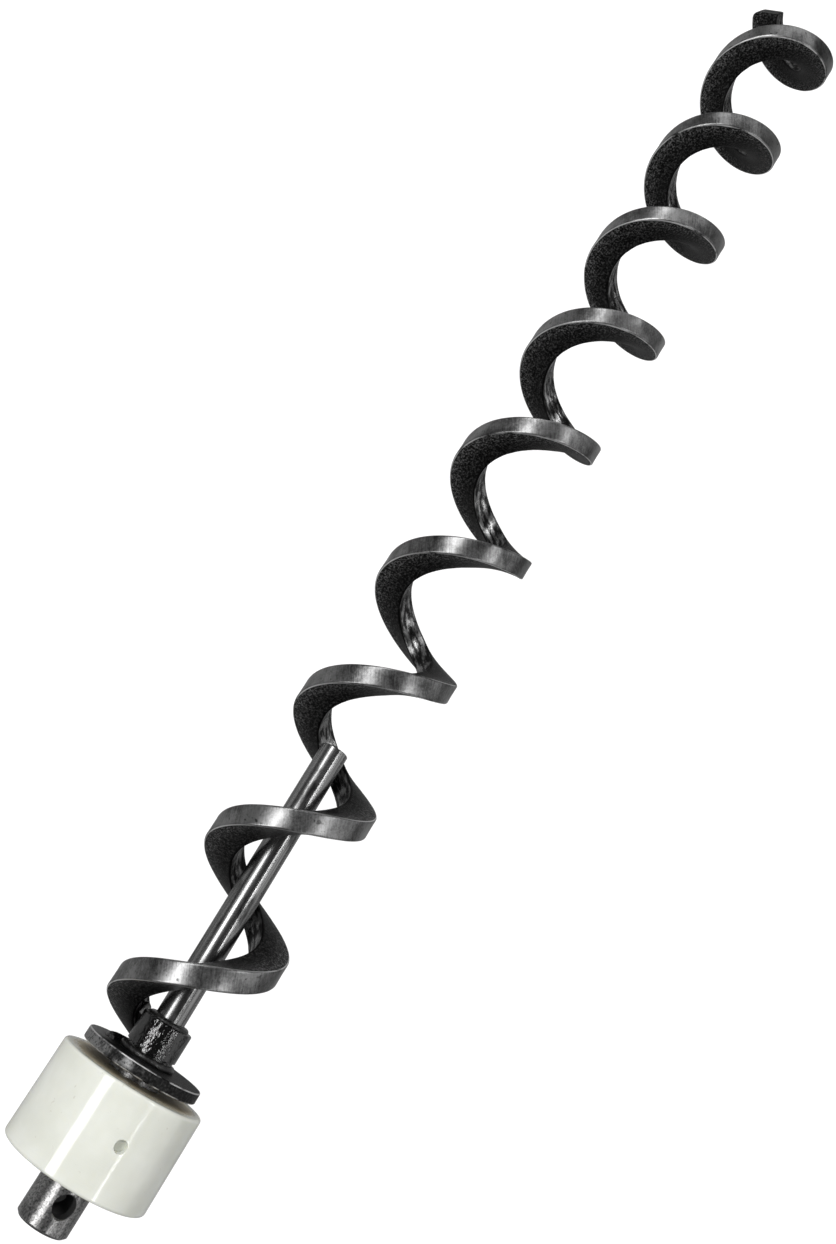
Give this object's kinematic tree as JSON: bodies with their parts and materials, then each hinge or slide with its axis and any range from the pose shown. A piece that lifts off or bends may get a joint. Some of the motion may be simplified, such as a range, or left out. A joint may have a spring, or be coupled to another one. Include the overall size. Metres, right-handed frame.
{
  "type": "centreless feed auger",
  "caption": "Centreless right-hand feed auger: edge-wound bar flight welded to a cross-drilled drive stub that turns in a nylon end bushing.",
  "frame": {"origin": "centre of the drive shaft's end face, at the mouth of the motor socket", "axes": "+X along the auger from the drive end to the free tip, +Z out through the bushing's screw dimple"},
  "size_m": [0.5562, 0.049, 0.049],
  "materials": {
    "nylon": "turned natural nylon, waxy gloss",
    "shaft_steel": "turned bar, dulled grey",
    "disc_steel": "dark mill scale with a worn rim",
    "rod_steel": "drawn bar, smooth",
    "flight_steel": "dark scale on the faces, burnished rim",
    "weld_metal": "black oxide over rippled weld"
  },
  "bodies": {
    "bushing": {"nylon_bushing": "nylon"},
    "screw": {"drive_shaft": "shaft_steel", "thrust_disc": "disc_steel", "support_rod": "rod_steel", "flight": "flight_steel", "weld_disc_to_shaft": "weld_metal", "weld_flight_to_shaft": "weld_metal", "weld_flight_to_disc": "weld_metal", "weld_rod_to_shaft": "weld_metal", "weld_rod_to_flight": "weld_metal"}
  },
  "joints": [
    {"name": "auger_spin", "type": "hinge", "parent": "bushing", "child": "screw", "pos_m": [0.03175, 0, 0], "axis": [1, 0, 0], "continuous": true}
  ]
}
